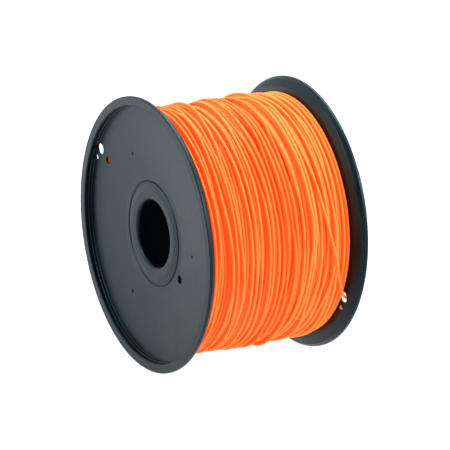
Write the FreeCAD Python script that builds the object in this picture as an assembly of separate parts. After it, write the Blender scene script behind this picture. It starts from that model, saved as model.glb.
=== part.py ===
import FreeCAD, Part
import os
from math import cos, pi, radians, sin, tan
from FreeCAD import Vector

# Wide one-kilogram filament spool.  Millimetres; +Y is the spool's axis, +Z is up, and the
# origin is on the axis at mid-width.  Profiles are drawn as (radius, depth) pairs, where depth
# is measured along the axis from the plane of the rim's outer face towards mid-width.

# overall sizes
flange_diameter = 160.0
spool_width = 102.0
bore_diameter = 39.2

# flange moulding
rim_wall = 5.8
rim_draft = 0.2
rim_outer_round = 0.5
rim_mouth_round = 0.7
rim_band = 1.8
rim_crown_round = 0.8
rim_taper_width = 1.6
rim_taper_depth = 3.9
rim_taper_round = 0.8
rim_bevel_width = 6.0
rim_bevel_round = 1.0
ledge_width = 0.5
ledge_height = 1.6
root_round = 0.5
recess_at_hub = 6.8
recess_at_rim = 4.2
web_thickness = 1.4
web_flat_margin = 1.5
hub_seat_depth = 1.2
hub_seat_width = 1.65
locating_height = 3.2
locating_wall = 2.0
edge_round = 0.3

# marks and holes of the flange moulding
gate_mark_circle = 96.2
gate_mark_diameter = 2.0
gate_mark_depth = 0.4
gate_nub_diameter = 0.8
gate_nub_height = 0.3
gate_mark_count = 3
gate_mark_turn = -0.9
hole_line_turn = 149.6
clip_hole_diameter = 6.9
clip_hole_bite = 0.4
end_hole_diameter = 3.2
end_hole_gap_to_wall = 0.05
end_hole_turn = 6.0
sight_hole_diameter = 4.4
sight_hole_radius = 61.6
start_hole_diameter = 5.0
start_hole_gap_to_drum = 1.0
hole_chamfer = 0.3
far_flange_turn = 59.3

# winding drum and its bore tube, one moulding
drum_diameter = 67.0
drum_wall = 2.4
bore_tube_wall = 2.2
rib_count = 6
rib_thickness = 1.8
rib_setback = 10.0
catch_bead_height = 1.2
catch_bead_width = 1.5
anchor_hole_diameter = 3.4
anchor_hole_turn = 210.0
anchor_hole_from_end = 12.0

# hub cap that clips a flange to the drum
cap_crown = 0.5
cap_bead_width = 1.2
cap_bead_height = 0.5
cap_thickness = 2.0
bore_mouth_round = 1.8
bore_lip_length = 7.5
spigot_overlap = 2.5
skirt_wall = 1.75
skirt_height = 2.0
finger_count = 3
finger_spread = 46.0
finger_turn = 60.0
barb_reach = 1.95
barb_length = 2.0

# filament
filament_diameter = 1.75
winding_diameter = 144.0
winding_shoulder = 4.5
route_lift = 0.2
hook_height = 3.0
hook_offset = 1.35
tail_stub = 0.2
start_depth = 3.6
start_tail = 9.0

# clearances
seat_clearance = 0.15
axial_clearance = 0.1
snap_clearance = 0.2
touch_gap = 0.05

# sizes that follow
flange_radius = flange_diameter / 2
bore_radius = bore_diameter / 2
drum_radius = drum_diameter / 2
drum_bore_radius = drum_radius - drum_wall
locating_radius = drum_bore_radius - seat_clearance
lip_radius = locating_radius - locating_wall
cap_radius = lip_radius + hub_seat_width
seat_radius = cap_radius + seat_clearance
web_inner_at_hub = recess_at_hub + web_thickness
web_inner_at_rim = recess_at_rim + web_thickness
wall_radius = flange_radius - rim_wall
web_flat_radius = drum_radius + web_flat_margin
bevel_radius = flange_radius - rim_bevel_width
locating_end = web_inner_at_hub + locating_height
bead_start = locating_end + snap_clearance
bead_end = bead_start + catch_bead_width
tube_radius = bore_radius + bore_tube_wall
spigot_radius = bore_radius + bore_tube_wall / 2
bore_mouth_depth = recess_at_hub - cap_crown / 2
bore_lip_end = bore_mouth_depth + bore_lip_length
skirt_radius = lip_radius - snap_clearance
barb_start = bead_end + axial_clearance
barb_end = barb_start + barb_length
half_width = spool_width / 2
drum_half_length = half_width - web_inner_at_hub
clip_hole_radius = wall_radius - clip_hole_diameter / 2 + clip_hole_bite
end_hole_radius = wall_radius - end_hole_diameter / 2 - end_hole_gap_to_wall
start_hole_radius = drum_radius + start_hole_gap_to_drum + start_hole_diameter / 2
winding_radius = winding_diameter / 2

AXIS = Vector(0, 1, 0)
CENTRE = Vector(0, 0, 0)


def polar(radius, turn, y):
    """A point at a radius and a turn (degrees from +X towards +Z) about the spool's axis."""
    return Vector(radius * cos(radians(turn)), y, radius * sin(radians(turn)))


def rounded_face(corners):
    """A face from (radius, depth, rounding) corners; each rounding is an arc tangent to both sides."""
    points = [Vector(radius, depth, 0) for radius, depth, _ in corners]
    edges = []
    joints = []
    for i, (_, _, rounding) in enumerate(corners):
        back = (points[i - 1] - points[i]).normalize()
        ahead = (points[(i + 1) % len(points)] - points[i]).normalize()
        if rounding == 0:
            joints.append((points[i], points[i]))
            continue
        half_corner = back.getAngle(ahead) / 2
        reach = rounding / tan(half_corner)
        first = points[i] + back * reach
        last = points[i] + ahead * reach
        bisector = (back + ahead).normalize()
        middle = points[i] + bisector * (rounding / sin(half_corner) - rounding)
        edges.append(Part.Arc(first, middle, last).toShape())
        joints.append((first, last))
    for i, (_, leaving) in enumerate(joints):
        arriving = joints[(i + 1) % len(joints)][0]
        edges.append(Part.makeLine(leaving, arriving))
    return Part.Face(Part.Wire(Part.__sortEdges__(edges)))


def turned(corners, angle=360):
    """The solid that a profile sweeps about the spool's axis."""
    return rounded_face(corners).revolve(CENTRE, AXIS, angle)


def axial_hole(diameter, radius, turn, outer_depth, inner_depth):
    """A cutter for a hole along the axis, chamfered where it meets both faces of the web."""
    hole_radius = diameter / 2
    run_out = 6.0
    start = polar(radius, turn, outer_depth - run_out)
    cutter = Part.makeCylinder(hole_radius, inner_depth - outer_depth + 2 * run_out, start, AXIS)
    wide = hole_radius + hole_chamfer
    outer = Part.makeCone(wide, hole_radius, hole_chamfer, polar(radius, turn, outer_depth), AXIS)
    inner_base = polar(radius, turn, inner_depth - hole_chamfer)
    inner = Part.makeCone(hole_radius, wide, hole_chamfer, inner_base, AXIS)
    return cutter.fuse([outer, inner])


def web_depth(radius):
    """Depth of the web's outer face: flat round the hub, then a shallow cone out to the rim."""
    if radius <= web_flat_radius:
        return recess_at_hub
    share = (radius - web_flat_radius) / (wall_radius - ledge_width - web_flat_radius)
    return recess_at_hub + (recess_at_rim - recess_at_hub) * share


def flange():
    """One flange moulding, with the plane of its rim's outer face at y = 0."""
    body = turned([
        (lip_radius, recess_at_hub + hub_seat_depth, 0),
        (seat_radius, recess_at_hub + hub_seat_depth, 0),
        (seat_radius, recess_at_hub, edge_round),
        (web_flat_radius, recess_at_hub, 0),
        (wall_radius - ledge_width, recess_at_rim, root_round),
        (wall_radius - ledge_width, recess_at_rim - ledge_height, edge_round / 2),
        (wall_radius, recess_at_rim - ledge_height, edge_round),
        (wall_radius + rim_draft, 0, rim_mouth_round),
        (flange_radius, 0, rim_outer_round),
        (flange_radius, rim_band, rim_crown_round),
        (flange_radius - rim_taper_width, rim_taper_depth, rim_taper_round),
        (bevel_radius, web_inner_at_rim, rim_bevel_round),
        (web_flat_radius, web_inner_at_hub, 0),
        (locating_radius, web_inner_at_hub, 0),
        (locating_radius, locating_end, edge_round),
        (lip_radius, locating_end, edge_round),
    ])
    cutters = []
    holes = [
        (clip_hole_diameter, clip_hole_radius, hole_line_turn),
        (end_hole_diameter, end_hole_radius, hole_line_turn + end_hole_turn),
        (sight_hole_diameter, sight_hole_radius, hole_line_turn),
        (start_hole_diameter, start_hole_radius, hole_line_turn + 180),
    ]
    for diameter, radius, turn in holes:
        outer_depth = web_depth(radius)
        cutters.append(axial_hole(diameter, radius, turn, outer_depth, outer_depth + web_thickness))
    nubs = []
    mark_radius = gate_mark_circle / 2
    mark_depth = web_depth(mark_radius)
    for i in range(gate_mark_count):
        turn = gate_mark_turn + i * 360 / gate_mark_count
        mouth = polar(mark_radius, turn, mark_depth - 1)
        cutters.append(Part.makeCylinder(gate_mark_diameter / 2, 1 + gate_mark_depth, mouth, AXIS))
        nub_top = polar(mark_radius, turn, mark_depth + gate_mark_depth - gate_nub_height)
        nubs.append(Part.makeCylinder(gate_nub_diameter / 2, 2 * gate_nub_height, nub_top, AXIS))
    return body.cut(cutters).fuse(nubs).removeSplitter()


def hub_cap():
    """The ring that clips a flange to the drum, with the mouth and lip of the bore."""
    plate_bottom = recess_at_hub + cap_thickness
    crown_radius = (bore_radius + cap_radius) / 2
    bead_radius = cap_radius - cap_bead_width
    body = turned([
        (bore_radius, bore_mouth_depth, bore_mouth_round),
        (crown_radius, recess_at_hub - cap_crown, 0),
        (bead_radius, recess_at_hub, 0),
        (cap_radius - cap_bead_width / 2, recess_at_hub - cap_bead_height, edge_round),
        (cap_radius, recess_at_hub, 0),
        (cap_radius, recess_at_hub + hub_seat_depth - touch_gap, 0),
        (skirt_radius, recess_at_hub + hub_seat_depth - touch_gap, 0),
        (skirt_radius, plate_bottom + skirt_height, 0),
        (skirt_radius - skirt_wall, plate_bottom + skirt_height, 0),
        (skirt_radius - skirt_wall, plate_bottom, edge_round),
        (tube_radius, plate_bottom, edge_round),
        (tube_radius, bore_lip_end - spigot_overlap, 0),
        (spigot_radius, bore_lip_end - spigot_overlap, 0),
        (spigot_radius, bore_lip_end, 0),
        (bore_radius, bore_lip_end, 0),
    ])
    finger = turned([
        (skirt_radius - skirt_wall, plate_bottom + skirt_height / 2, 0),
        (skirt_radius, plate_bottom + skirt_height / 2, 0),
        (skirt_radius, barb_start, 0),
        (skirt_radius + barb_reach, barb_start, edge_round),
        (skirt_radius + barb_reach / 3, barb_end, edge_round),
        (skirt_radius - skirt_wall, barb_end, edge_round),
    ], finger_spread)
    fingers = []
    for i in range(finger_count):
        turn = finger_turn + i * 360 / finger_count
        fingers.append(finger.copy().rotate(CENTRE, AXIS, turn - finger_spread / 2))
    return body.fuse(fingers).removeSplitter()


def winding_core():
    """The drum that the filament is wound on and its bore tube, joined by ribs."""
    half = drum_half_length
    drum = turned([
        (drum_bore_radius, -half, edge_round),
        (drum_radius, -half, 0),
        (drum_radius, half, 0),
        (drum_bore_radius, half, edge_round),
    ])
    tube_half = half_width - bore_lip_end - axial_clearance
    socket_half = tube_half + spigot_overlap
    socket_radius = spigot_radius + axial_clearance
    tube = turned([
        (bore_radius, -tube_half, 0),
        (socket_radius, -tube_half, 0),
        (socket_radius, -socket_half, 0),
        (tube_radius, -socket_half, 0),
        (tube_radius, socket_half, 0),
        (socket_radius, socket_half, 0),
        (socket_radius, tube_half, 0),
        (bore_radius, tube_half, 0),
    ])
    pieces = []
    sunk = 0.3
    for side in (-1, 1):
        inner_edge = side * (half_width - bead_end)
        outer_edge = side * (half_width - bead_start)
        pieces.append(turned([
            (drum_bore_radius + sunk, inner_edge, 0),
            (drum_bore_radius - catch_bead_height, inner_edge, edge_round),
            (drum_bore_radius - catch_bead_height, outer_edge, edge_round),
            (drum_bore_radius + sunk, outer_edge, 0),
        ]))
    rib_half = half - rib_setback
    rib_width = drum_bore_radius - tube_radius + 2 * sunk
    for i in range(rib_count):
        corner = Vector(tube_radius - sunk, -rib_half, -rib_thickness / 2)
        rib = Part.makeBox(rib_width, 2 * rib_half, rib_thickness, corner)
        pieces.append(rib.rotate(CENTRE, AXIS, i * 360 / rib_count))
    anchor_y = -half + anchor_hole_from_end
    anchor_start = polar(drum_bore_radius - 1, anchor_hole_turn, anchor_y)
    anchor = Part.makeCylinder(anchor_hole_diameter / 2, drum_wall + 2, anchor_start,
                               polar(1, anchor_hole_turn, 0))
    return drum.fuse([tube] + pieces).cut(anchor).removeSplitter()


def filament_winding():
    """The wound filament as one ring that fills the space between the flanges."""
    half_at_drum = drum_half_length - touch_gap
    slope = (web_inner_at_hub - web_inner_at_rim) / (bevel_radius - web_flat_radius)
    half_at_top = half_at_drum + slope * (winding_radius - web_flat_radius)
    return turned([
        (drum_radius + touch_gap, -half_at_drum, 0),
        (web_flat_radius, -half_at_drum, 0),
        (winding_radius, -half_at_top, winding_shoulder),
        (winding_radius, half_at_top, winding_shoulder),
        (web_flat_radius, half_at_drum, 0),
        (drum_radius + touch_gap, half_at_drum, 0),
    ])


def strand(points, name):
    """A round filament along straight runs that tangent arcs join."""
    edges = []
    radii = []
    leaving = points[0]
    for before, corner, after in zip(points, points[1:], points[2:]):
        back = before - corner
        ahead = after - corner
        reach = 0.45 * min(back.Length, ahead.Length)
        half_turn = (pi - back.getAngle(ahead)) / 2
        radius = reach / tan(half_turn)
        back.normalize()
        ahead.normalize()
        first = corner + back * reach
        last = corner + ahead * reach
        towards_centre = (back + ahead).normalize()
        middle = corner + towards_centre * (radius / cos(half_turn) - radius)
        edges.append(Part.makeLine(leaving, first))
        edges.append(Part.Arc(first, middle, last).toShape())
        radii.append(radius)
        leaving = last
    edges.append(Part.makeLine(leaving, points[-1]))
    route = Part.Wire(edges)
    section = Part.makeCircle(filament_diameter / 2, points[0], points[1] - points[0])
    print(name, "length", round(route.Length, 1), "bend radii", [round(r, 1) for r in radii])
    return route.makePipeShell([Part.Wire(section)], True, True)


def filament_tail(clip_turn, end_turn):
    """The outer end: over the winding, out of the clip hole and back in through the end hole."""
    on_winding = winding_radius + filament_diameter / 2 + touch_gap + route_lift
    lying = [(44, 24.2), (36, 25.0), (28, 26.1), (20, 27.4), (12, 29.1), (4, 31.0), (-4, 33.2),
             (-11, 36.0), (-17, 38.9), (-22.3, 41.5)]
    points = [polar(on_winding, turn, y) for turn, y in lying]
    web_y = half_width - recess_at_rim
    hook_y = web_y + hook_height
    clip_radius = clip_hole_radius + hook_offset
    points.append(polar(clip_radius, clip_turn + 0.9, web_y - web_thickness - 0.6 * filament_diameter))
    points.append(polar(clip_radius, clip_turn - 0.5, hook_y))
    points.append(polar(end_hole_radius, end_turn, hook_y))
    points.append(polar(end_hole_radius, end_turn, web_y - web_thickness - tail_stub))
    return strand(points, "tail")


def filament_start():
    """The inner end: through the drum's anchor hole, then bent along inside the drum."""
    y = -drum_half_length + anchor_hole_from_end
    bend_radius = drum_bore_radius - start_depth
    points = [
        polar(drum_radius + touch_gap / 2, anchor_hole_turn, y),
        polar(bend_radius, anchor_hole_turn, y),
        polar(bend_radius, anchor_hole_turn, y + start_tail),
    ]
    return strand(points, "start")


def at_near_side(shape):
    return shape.copy().translate(Vector(0, -half_width, 0))


def at_far_side(shape, turn=0.0):
    """The same moulding turned round for the other end, then turned about the axis."""
    placed = at_near_side(shape).rotate(CENTRE, Vector(0, 0, 1), 180)
    return placed.rotate(CENTRE, AXIS, turn)


flange_moulding = flange()
cap_moulding = hub_cap()
far_clip_turn = 180 - hole_line_turn - far_flange_turn

nodes = {
    "near_flange": at_near_side(flange_moulding),
    "far_flange": at_far_side(flange_moulding, far_flange_turn),
    "winding_core": winding_core(),
    "near_hub_cap": at_near_side(cap_moulding),
    "far_hub_cap": at_far_side(cap_moulding),
    "filament_winding": filament_winding(),
    "filament_tail": filament_tail(far_clip_turn, far_clip_turn - end_hole_turn),
    "filament_start": filament_start(),
}

os.makedirs("parts", exist_ok=True)
for name, shape in nodes.items():
    print(name, shape.isValid(), len(shape.Solids), round(shape.Volume), shape.BoundBox)
    shape.exportStep("parts/" + name + ".step")
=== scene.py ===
from math import cos, pi, radians, sin

import bpy
import numpy as np
from mathutils import Matrix, Vector


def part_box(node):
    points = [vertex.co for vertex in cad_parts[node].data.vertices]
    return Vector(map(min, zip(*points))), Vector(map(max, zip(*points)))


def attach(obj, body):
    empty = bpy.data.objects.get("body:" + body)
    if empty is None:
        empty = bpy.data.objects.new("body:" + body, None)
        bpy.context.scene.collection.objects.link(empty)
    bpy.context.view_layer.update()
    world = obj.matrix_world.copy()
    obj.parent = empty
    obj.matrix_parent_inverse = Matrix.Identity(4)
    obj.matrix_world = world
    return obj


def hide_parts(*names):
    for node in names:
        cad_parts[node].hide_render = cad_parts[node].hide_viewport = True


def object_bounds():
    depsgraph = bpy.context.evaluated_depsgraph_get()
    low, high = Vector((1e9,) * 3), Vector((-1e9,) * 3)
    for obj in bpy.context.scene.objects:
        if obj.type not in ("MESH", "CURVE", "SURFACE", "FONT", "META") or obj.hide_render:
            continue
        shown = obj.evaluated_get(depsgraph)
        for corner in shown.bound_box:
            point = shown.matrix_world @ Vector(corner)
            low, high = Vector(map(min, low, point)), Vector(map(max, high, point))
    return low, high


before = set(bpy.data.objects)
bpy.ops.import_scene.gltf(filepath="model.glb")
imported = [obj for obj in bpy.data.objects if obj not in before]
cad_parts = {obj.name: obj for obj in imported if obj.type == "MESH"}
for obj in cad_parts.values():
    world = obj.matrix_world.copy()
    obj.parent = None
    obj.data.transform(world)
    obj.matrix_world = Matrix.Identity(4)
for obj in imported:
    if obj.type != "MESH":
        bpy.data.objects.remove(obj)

cad_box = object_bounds()
BODY = "root"
MM = 0.001

# the camera: where it stands, how far it turns and lifts, and its lens
CAMERA_TURN = radians(60.985)
CAMERA_RISE = radians(16.619)
CAMERA_DISTANCE = 1.83046
CAMERA_RIGHT = 0.00232
CAMERA_UP = -0.00113
LENS_MM = 253.2
SENSOR_MM = 36.0

# the filament: its thickness, the sides of its tube and the steps round one turn
STRAND = 1.75 * MM
STRAND_SIDES = 8
RING_STEPS = 150
# painted glow: the filament emits light of its own, which lightens the shade in the gaps between the turns;
# deep turns get a share of it
PAINTED_GLOW = 0.30
DEEP_TURN_GLOW_SHARE = 0.2

# the plastic's fine scratches: their slant, and their width as a share of their length
SCRATCH_SLANT = radians(28)
SCRATCH_STRETCH = 0.12

# the studio: a white tent that is dark on the side that faces OPENING, with a soft edge between the two
OPENING = (0.838, -0.465, 0.286)
OPENING_EDGE = (0.30, 0.80)
TENT_GLOW = 1.0
OPENING_GLOW = 0.06
# its floor, whose glow rises between these two distances along BRIGHT_WAY
FLOOR_SIZE = 8
BRIGHT_WAY = (-0.85, -0.53, 0)
GLOW_DISTANCES = (0.12, 0.50)
FLOOR_GLOWS = (0.97, 1.5)
# each lamp's name, place in metres, size and power; all of them face the origin
LAMPS = [
    ("overhead", (-0.25, 0.50, 1.25), 1.2, 23),
    ("side", (1.1, 0.70, 0.75), 0.8, 18),
    ("key", (-0.15, -1.15, 0.60), 0.5, 9),
]


def make_camera():
    right = Vector((cos(CAMERA_TURN), sin(CAMERA_TURN), 0))
    level = Vector((-sin(CAMERA_TURN), cos(CAMERA_TURN), 0))
    up = level * sin(CAMERA_RISE) + Vector((0, 0, cos(CAMERA_RISE)))
    back = right.cross(up)
    data = bpy.data.cameras.new("camera")
    data.lens = LENS_MM
    data.sensor_width = SENSOR_MM
    data.clip_end = 20
    camera = bpy.data.objects.new("camera", data)
    place = back * CAMERA_DISTANCE + right * CAMERA_RIGHT + up * CAMERA_UP
    turn = Matrix((right, up, back)).transposed().to_4x4()
    camera.matrix_world = Matrix.Translation(place) @ turn
    bpy.context.scene.collection.objects.link(camera)
    bpy.context.scene.camera = camera


make_camera()


# ---------------------------------------------------------------- materials

class Nodes:
    """A short way to build one node material."""

    def __init__(self, name):
        self.material = bpy.data.materials.new(name)
        self.material.use_nodes = True
        self.tree = self.material.node_tree
        self.shader = self.tree.nodes["Principled BSDF"]

    def add(self, kind, **settings):
        node = self.tree.nodes.new(kind)
        for key, value in settings.items():
            if key in node.inputs:
                node.inputs[key].default_value = value
            else:
                setattr(node, key, value)
        return node

    def link(self, start, end):
        self.tree.links.new(start, end)

    def coords(self):
        return self.add("ShaderNodeTexCoord").outputs["Object"]

    def noise(self, vector, scale, detail=3.0, roughness=0.55):
        node = self.add("ShaderNodeTexNoise", Scale=scale, Detail=detail, Roughness=roughness)
        self.link(vector, node.inputs["Vector"])
        return node.outputs["Fac"]

    def ramp(self, value, stops):
        node = self.add("ShaderNodeValToRGB")
        ramp = node.color_ramp
        while len(ramp.elements) < len(stops):
            ramp.elements.new(0.5)
        for element, (place, colour) in zip(ramp.elements, stops):
            element.position = place
            element.color = (*colour, 1)
        self.link(value, node.inputs["Fac"])
        return node.outputs["Color"]

    def math(self, operation, first, second=None, clamp=False):
        node = self.add("ShaderNodeMath", operation=operation, use_clamp=clamp)
        for socket, value in zip(node.inputs, (first, second)):
            if isinstance(value, (int, float)):
                socket.default_value = value
            elif value is not None:
                self.link(value, socket)
        return node.outputs[0]

    def spread(self, value, low, high, to_low, to_high):
        node = self.add("ShaderNodeMapRange")
        for socket, number in zip(list(node.inputs)[1:5], (low, high, to_low, to_high)):
            socket.default_value = number
        self.link(value, node.inputs["Value"])
        return node.outputs["Result"]

    def flow_rings(self, scale):
        """Noise that changes only with the distance from the spool's axis, as a mould's turned rings do."""
        parts = self.add("ShaderNodeSeparateXYZ")
        self.link(self.coords(), parts.inputs[0])
        squares = [self.math("MULTIPLY", parts.outputs[name], parts.outputs[name]) for name in "XZ"]
        radius = self.math("SQRT", self.math("ADD", *squares))
        node = self.add("ShaderNodeTexNoise", noise_dimensions="1D", Scale=scale, Detail=3.0)
        self.link(radius, node.inputs["W"])
        return node.outputs["Fac"]

    def bump(self, height, distance, strength=1.0):
        node = self.add("ShaderNodeBump", Strength=strength, Distance=distance)
        self.link(height, node.inputs["Height"])
        self.link(node.outputs["Normal"], self.shader.inputs["Normal"])


def moulded_plastic(name, deep, worn, rough, seed):
    """Black moulded polystyrene: almost no colour of its own, so its sheen, haze and scuffs show."""
    m = Nodes(name)
    place = m.add("ShaderNodeMapping")
    place.inputs["Location"].default_value = (seed, seed * 0.7, -seed)
    m.link(m.coords(), place.inputs["Vector"])
    vector = place.outputs["Vector"]
    cloud = m.noise(vector, scale=18, detail=5, roughness=0.6)
    grain = m.noise(vector, scale=2200, detail=2)
    smear = m.add("ShaderNodeMapping")
    smear.inputs["Rotation"].default_value = (0, SCRATCH_SLANT, 0)
    smear.inputs["Scale"].default_value = (1.0, 1.0, SCRATCH_STRETCH)
    m.link(vector, smear.inputs["Vector"])
    scratches = m.noise(smear.outputs["Vector"], scale=700, detail=2, roughness=0.7)
    flow = m.flow_rings(scale=260)
    haze = m.spread(cloud, 0.42, 0.68, 0.0, 1.0)
    streak = m.spread(scratches, 0.62, 0.74, 0.0, 1.0)
    wear = m.math("ADD", haze, m.math("MULTIPLY", streak, 0.5), clamp=True)
    m.link(m.ramp(wear, [(0.0, deep), (1.0, worn)]), m.shader.inputs["Base Color"])
    clouded = m.spread(cloud, 0.3, 0.7, rough - 0.07, rough + 0.12)
    scuffed = m.math("MULTIPLY", streak, 0.06)
    m.link(m.math("ADD", clouded, scuffed), m.shader.inputs["Roughness"])
    m.link(m.spread(wear, 0.0, 1.0, 0.45, 0.60), m.shader.inputs["Specular IOR Level"])
    m.shader.inputs["IOR"].default_value = 1.39
    # painted tint: the plastic's sheen is coloured blue-green, standing in for the bluish light it reflects
    m.shader.inputs["Specular Tint"].default_value = (0.42, 0.82, 1.0, 1)
    height = m.math("ADD", m.math("MULTIPLY", grain, 0.012), cloud)
    height = m.math("ADD", height, m.math("MULTIPLY", flow, 0.05))
    m.bump(height, distance=0.0007, strength=0.4)
    return m.material


def filament_plastic():
    """Satin, slightly see-through orange filament with a painted glow; each turn's tone goes from
    red-orange to amber, and the deeper turns get the redder, darker end as painted shade.
    """
    m = Nodes("orange_filament")
    tone_and_depth_shade = m.add("ShaderNodeAttribute", attribute_name="tone_and_depth_shade").outputs["Fac"]
    cloud = m.noise(m.coords(), scale=45, detail=3)
    mixed = m.math("ADD", m.math("MULTIPLY", tone_and_depth_shade, 0.85), m.math("MULTIPLY", cloud, 0.15))
    # low values give the darker red of painted shade on deep turns, high ones the lighter amber of the lit
    # top turns; the spread within a layer is random tone
    colour = m.ramp(mixed, [(0.08, (0.97, 0.115, 0.010)), (0.35, (0.98, 0.150, 0.022)),
                            (0.62, (0.99, 0.185, 0.040)), (0.85, (1.00, 0.230, 0.046))])
    m.link(colour, m.shader.inputs["Base Color"])
    m.link(m.spread(cloud, 0.3, 0.7, 0.64, 0.72), m.shader.inputs["Roughness"])
    m.shader.inputs["IOR"].default_value = 1.38
    m.shader.inputs["Specular IOR Level"].default_value = 0.35
    m.shader.inputs["Subsurface Weight"].default_value = 0.7
    m.shader.inputs["Subsurface Radius"].default_value = (1.0, 0.45, 0.15)
    m.shader.inputs["Subsurface Scale"].default_value = 0.006
    # painted glow: emission that fills the shade between the turns, weaker on the deep turns
    m.shader.inputs["Emission Color"].default_value = (1.0, 0.13, 0.010, 1)
    glow = m.spread(tone_and_depth_shade, 0.0, 0.4, DEEP_TURN_GLOW_SHARE * PAINTED_GLOW, PAINTED_GLOW)
    m.link(glow, m.shader.inputs["Emission Strength"])
    m.bump(m.noise(m.coords(), scale=700, detail=2), distance=0.00003, strength=0.3)
    return m.material


flange_black = moulded_plastic("flange_black", deep=(0.0008, 0.0013, 0.0017), worn=(0.0040, 0.0060, 0.0068),
                               rough=0.36, seed=1.3)
cap_black = moulded_plastic("cap_black", deep=(0.0008, 0.0012, 0.0016), worn=(0.0028, 0.0042, 0.0050),
                            rough=0.38, seed=4.1)
core_black = moulded_plastic("core_black", deep=(0.0008, 0.0010, 0.0012), worn=(0.0020, 0.0022, 0.0026),
                             rough=0.5, seed=7.7)
orange = filament_plastic()


def paint(node, material):
    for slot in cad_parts[node].material_slots:
        slot.material = material


for side in ("near", "far"):
    paint(f"{side}_flange", flange_black)
    paint(f"{side}_hub_cap", cap_black)
paint("winding_core", core_black)
paint("filament_start", orange)


# ---------------------------------------------------------------- filament

# the solid winding's far corner gives its radius and half its length
WINDING_RADIUS, HALF_LENGTH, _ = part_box("filament_winding")[1]
# each layer's spacing in strand widths, turns in a bundle, drift of a bundle and of a turn in mm, and
# tones; the lower layers get darker red tones as painted shade of the deep gaps
LAYERS = [
    ((1.00, 1.02), (8, 12), 0.10, 0.00, (0.0, 0.3)),
    ((1.00, 1.12), (4, 9), 0.35, 0.05, (0.0, 0.5)),
    ((1.00, 1.40), (2, 6), 1.10, 0.20, (0.1, 0.8)),
    ((1.05, 2.40), (1, 4), 2.00, 0.45, (0.3, 1.0)),
]
OWN_SHADE = 0.12
LAYER_RISE = 0.86 * STRAND
BASE_RADIUS = WINDING_RADIUS - STRAND / 2 - 4.0 * LAYER_RISE
# where the filament below is heaped up: place along the axis, width and height in mm, and turn of its top
MOUNDS = [(-36, 6, 0.7, 1.0), (-17, 5, 0.5, 2.5), (2, 6, 0.5, 4.0), (17, 5, 0.6, 5.2), (32, 6, 1.0, 0.4)]
MOUND_RIPPLE = 0.25
# the space left beside each flange, and how near to it the drift dies out
END_SPACE = 0.5 * MM
END_CALM = 8 * MM
WINDING_PIECES = 4
ring_angles = np.linspace(0, 2 * pi, RING_STEPS, endpoint=False)
random = np.random.default_rng(7)


def tube_mesh(name, routes, tones_and_depth_shades):
    """One mesh of closed round tubes, one along each route."""
    vertices, faces, tone_and_depth_shade_values = [], [], []
    offset = 0
    for route, tone_and_depth_shade in zip(routes, tones_and_depth_shades):
        count = len(route)
        ahead = np.roll(route, -1, 0) - np.roll(route, 1, 0)
        ahead /= np.linalg.norm(ahead, axis=1)[:, None]
        outward = route * [1, 0, 1]
        outward /= np.linalg.norm(outward, axis=1)[:, None]
        side = np.cross(ahead, outward)
        side /= np.linalg.norm(side, axis=1)[:, None]
        outward = np.cross(side, ahead)
        for s in range(STRAND_SIDES):
            a = 2 * pi * s / STRAND_SIDES
            vertices.append(route + STRAND / 2 * (cos(a) * outward + sin(a) * side))
        steps = np.arange(count)
        after = (steps + 1) % count
        for s in range(STRAND_SIDES):
            low = offset + s * count
            high = offset + ((s + 1) % STRAND_SIDES) * count
            faces.append(np.stack([low + steps, low + after, high + after, high + steps], 1))
        tone_and_depth_shade_values.append(np.full(count * STRAND_SIDES, tone_and_depth_shade))
        offset += count * STRAND_SIDES
    vertices = np.concatenate(vertices)
    faces = np.concatenate(faces)
    mesh = bpy.data.meshes.new(name)
    mesh.vertices.add(len(vertices))
    mesh.vertices.foreach_set("co", vertices.ravel())
    mesh.loops.add(faces.size)
    mesh.loops.foreach_set("vertex_index", faces.ravel())
    mesh.polygons.add(len(faces))
    mesh.polygons.foreach_set("loop_start", np.arange(0, faces.size, 4))
    mesh.polygons.foreach_set("use_smooth", np.ones(len(faces), dtype=bool))
    mesh.update(calc_edges=True)
    mesh.validate()
    attribute = mesh.attributes.new("tone_and_depth_shade", "FLOAT", "POINT")
    attribute.data.foreach_set("value", np.concatenate(tone_and_depth_shade_values))
    piece = bpy.data.objects.new(name, mesh)
    bpy.context.scene.collection.objects.link(piece)
    mesh.materials.append(orange)
    return piece


def pulled_tight(radius):
    """A ring under tension bridges every dip, so its route is the convex hull of what it must clear."""
    x, z = radius * np.cos(ring_angles), radius * np.sin(ring_angles)
    start = int(np.argmax(radius))
    order = [(start + i) % RING_STEPS for i in range(RING_STEPS + 1)]
    hull = []
    for i in order:
        while len(hull) > 1:
            a, b = hull[-2], hull[-1]
            turn = (x[b] - x[a]) * (z[i] - z[b]) - (z[b] - z[a]) * (x[i] - x[b])
            if turn > 0:
                break
            hull.pop()
        hull.append(i)
    tight = radius.copy()
    for a, b in zip(hull, hull[1:]):
        steps = (b - a) % RING_STEPS
        for k in range(1, steps):
            i = (a + k) % RING_STEPS
            cross = x[a] * z[b] - x[b] * z[a]
            across = (z[b] - z[a]) * np.cos(ring_angles[i]) - (x[b] - x[a]) * np.sin(ring_angles[i])
            tight[i] = cross / across
    return tight


def wander(size):
    """A slow sideways drift round one ring: a few harmonics of random phase."""
    drift = np.zeros(RING_STEPS)
    for harmonic, share in ((1, 1.0), (2, 0.55), (3, 0.3), (5, 0.12)):
        drift += share * random.normal() * np.cos(harmonic * ring_angles + random.uniform(0, 2 * pi))
    return size * drift


def mound(route):
    """How far the filament heaped up below lifts a turn at each point of its route."""
    swell = np.zeros(RING_STEPS)
    for middle, width, height, turn in MOUNDS:
        ripple = 1 - MOUND_RIPPLE + MOUND_RIPPLE * np.cos(ring_angles - turn)
        swell += height * MM * ripple * np.exp(-((route / MM - middle) / width) ** 2)
    return swell


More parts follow.
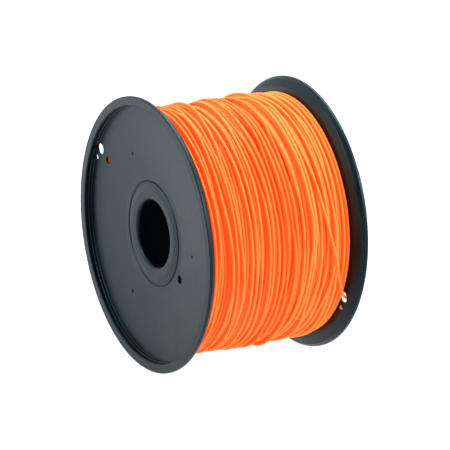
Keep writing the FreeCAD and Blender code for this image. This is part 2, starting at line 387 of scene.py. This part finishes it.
def rest_height(route, places, heights):
    """The lowest radius at which a turn on this route clears every turn that is already there."""
    floor = BASE_RADIUS + mound(route)
    for below, height in zip(places, heights):
        gap = np.abs(route - below)
        if gap.min() < STRAND:
            lift = np.sqrt(np.clip(STRAND ** 2 - gap ** 2, 0, None))
            floor = np.where(gap < STRAND, np.maximum(floor, height + lift), floor)
    return floor


def lay_rings():
    """Lay turns one after another; each rests on those below it and is pulled tight."""
    limit = HALF_LENGTH - STRAND / 2 - END_SPACE
    places, heights, tones_and_depth_shades = [], [], []
    for layer, (spacing, bundle, bundle_drift, own_drift, shades) in enumerate(LAYERS):
        way = 1 if layer % 2 == 0 else -1
        place = -limit
        while place <= limit:
            drift = wander(bundle_drift * MM)
            shade = random.uniform(*shades)
            for _ in range(random.integers(*bundle)):
                if place > limit:
                    break
                calm = min(1.0, (limit - abs(place)) / END_CALM)
                route = way * place + calm * (drift + wander(own_drift * MM))
                places.append(np.clip(route, -limit, limit))
                heights.append(pulled_tight(rest_height(places[-1], places[:-1], heights)))
                tones_and_depth_shades.append(shade + random.uniform(-OWN_SHADE, OWN_SHADE))
                place += STRAND * random.uniform(*spacing)
    return places, heights, tones_and_depth_shades


places, heights, tones_and_depth_shades = lay_rings()


def ring_route(place, height):
    return np.stack([height * np.cos(ring_angles), place, height * np.sin(ring_angles)], 1)


def make_winding():
    """All the turns, in the order they were laid, as a few pieces of about the same size."""
    per_piece = -(-len(places) // WINDING_PIECES)
    for number in range(WINDING_PIECES):
        chosen = slice(number * per_piece, (number + 1) * per_piece)
        routes = [ring_route(place, height) for place, height in zip(places[chosen], heights[chosen])]
        piece = tube_mesh(f"filament_turns_{number + 1}", routes, tones_and_depth_shades[chosen])
        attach(piece, BODY)
        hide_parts("filament_winding")


make_winding()

# the outer end: turn (degrees from +X towards +Z) and place along the axis where it lies on the turns
TAIL_ON_TURNS = [(172, 21.6), (160, 21.7), (148, 21.8), (136, 21.9), (124, 22.0), (112, 22.1), (100, 22.2),
                 (88, 22.4), (76, 22.7), (66, 23.0), (56, 23.5), (46, 24.1), (36, 25.1), (28, 26.1),
                 (20, 27.4), (12, 29.1), (4, 31.0), (-4, 33.2), (-11, 36.0), (-17, 38.9), (-22.3, 41.5)]
TAIL_LIFT = 0.2 * MM
# the outer end lies on top of the turns, so it takes the light amber end of the painted depth shade and the
# full painted glow
TAIL_TONE_AND_SHADE = 0.95
# its first points are sunk between the turns, half a strand deeper each
TAIL_SUNK_POINTS = 2
# a strand rests on whatever it crosses within this turn (degrees) of a point
TAIL_REACH = 2.5
# then (radius, turn, place) in mm through the far flange's two holes
TAIL_HOOK = [(72.5, -28.0, 44.35), (72.5, -29.4, 49.8), (72.55, -34.9, 49.8), (72.55, -34.9, 45.2)]


def on_circle(radius, turn, y):
    return Vector((radius * cos(radians(turn)), y, radius * sin(radians(turn))))


def height_on_turns(turn, y):
    """The radius at which one more strand rests on the turns that pass this point."""
    near = np.radians(turn + np.array((-TAIL_REACH, 0, TAIL_REACH)))
    best = 0.0
    for place, height in zip(places, heights):
        gap = np.abs(np.interp(near, ring_angles, place, period=2 * pi) - y)
        lift = np.sqrt(np.clip(STRAND ** 2 - gap ** 2, 0, None))
        reach = np.interp(near, ring_angles, height, period=2 * pi) + lift
        best = max(best, reach[gap < STRAND].max(initial=0))
    return best


def make_tail():
    """The filament's outer end: off the last turn, out of the clip hole, back in at the end hole."""
    route = []
    for number, (turn, y) in enumerate(TAIL_ON_TURNS):
        sunk = max(0, TAIL_SUNK_POINTS - number) * STRAND / 2
        route.append(on_circle(height_on_turns(turn, y * MM) + TAIL_LIFT - sunk, turn, y * MM))
    for radius, turn, y in TAIL_HOOK:
        route.append(on_circle(radius * MM, turn, y * MM))
    curve = bpy.data.curves.new("tail_route", "CURVE")
    curve.dimensions = "3D"
    curve.bevel_depth = STRAND / 2
    curve.bevel_resolution = 4
    curve.use_fill_caps = True
    curve.resolution_u = 12
    spline = curve.splines.new("NURBS")
    spline.points.add(len(route) - 1)
    for point, place in zip(spline.points, route):
        point.co = (*place, 1)
    spline.order_u = 3
    spline.use_endpoint_u = True
    tail_curve = bpy.data.objects.new("tail_curve", curve)
    mesh = bpy.data.meshes.new_from_object(tail_curve)
    tone_and_depth_shade = mesh.attributes.new("tone_and_depth_shade", "FLOAT", "POINT")
    tone_and_depth_shade.data.foreach_set("value", np.full(len(mesh.vertices), TAIL_TONE_AND_SHADE))
    mesh.polygons.foreach_set("use_smooth", np.ones(len(mesh.polygons), dtype=bool))
    mesh.materials.clear()
    mesh.materials.append(orange)
    piece = bpy.data.objects.new("filament_outer_end", mesh)
    bpy.context.scene.collection.objects.link(piece)
    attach(piece, BODY)
    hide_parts("filament_tail")


make_tail()


# ---------------------------------------------------------------- studio

def make_floor():
    """A white light table: it glows, so the spool's shadow on it is very weak."""
    bpy.ops.mesh.primitive_plane_add(size=FLOOR_SIZE, location=(0, 0, cad_box[0][2]))
    floor = bpy.context.object
    floor.name = "floor"
    m = Nodes("floor_white")
    m.shader.inputs["Base Color"].default_value = (0.16, 0.16, 0.16, 1)
    m.shader.inputs["Roughness"].default_value = 0.9
    m.shader.inputs["Specular IOR Level"].default_value = 0.0
    m.shader.inputs["Emission Color"].default_value = (0.98, 0.99, 1.0, 1)
    along = m.add("ShaderNodeVectorMath", operation="DOT_PRODUCT")
    along.inputs[1].default_value = BRIGHT_WAY
    m.link(m.coords(), along.inputs[0])
    glow = m.spread(along.outputs["Value"], *GLOW_DISTANCES, *FLOOR_GLOWS)
    m.link(glow, m.shader.inputs["Emission Strength"])
    floor.data.materials.append(m.material)


def area_light(name, place, size, power):
    data = bpy.data.lights.new(name, "AREA")
    data.size = size
    data.energy = power
    lamp = bpy.data.objects.new(name, data)
    lamp.location = place
    lamp.rotation_euler = Vector(place).to_track_quat("Z", "Y").to_euler()
    bpy.context.scene.collection.objects.link(lamp)


def make_light():
    """A white tent, open and dark on the side that faces OPENING, with soft lamps round it."""
    world = bpy.data.worlds.new("studio")
    world.use_nodes = True
    tree = world.node_tree
    direction = tree.nodes.new("ShaderNodeTexCoord")
    facing = tree.nodes.new("ShaderNodeVectorMath")
    facing.operation = "DOT_PRODUCT"
    facing.inputs[1].default_value = OPENING
    tree.links.new(direction.outputs["Generated"], facing.inputs[0])
    glow = tree.nodes.new("ShaderNodeMapRange")
    for socket, number in zip(list(glow.inputs)[1:5], (*OPENING_EDGE, TENT_GLOW, OPENING_GLOW)):
        socket.default_value = number
    tree.links.new(facing.outputs["Value"], glow.inputs["Value"])
    background = tree.nodes["Background"]
    background.inputs["Color"].default_value = (0.86, 0.97, 1.0, 1)
    tree.links.new(glow.outputs["Result"], background.inputs["Strength"])
    bpy.context.scene.world = world
    bpy.context.scene.view_settings.view_transform = "Standard"
    for lamp in LAMPS:
        area_light(*lamp)


make_floor()
make_light()
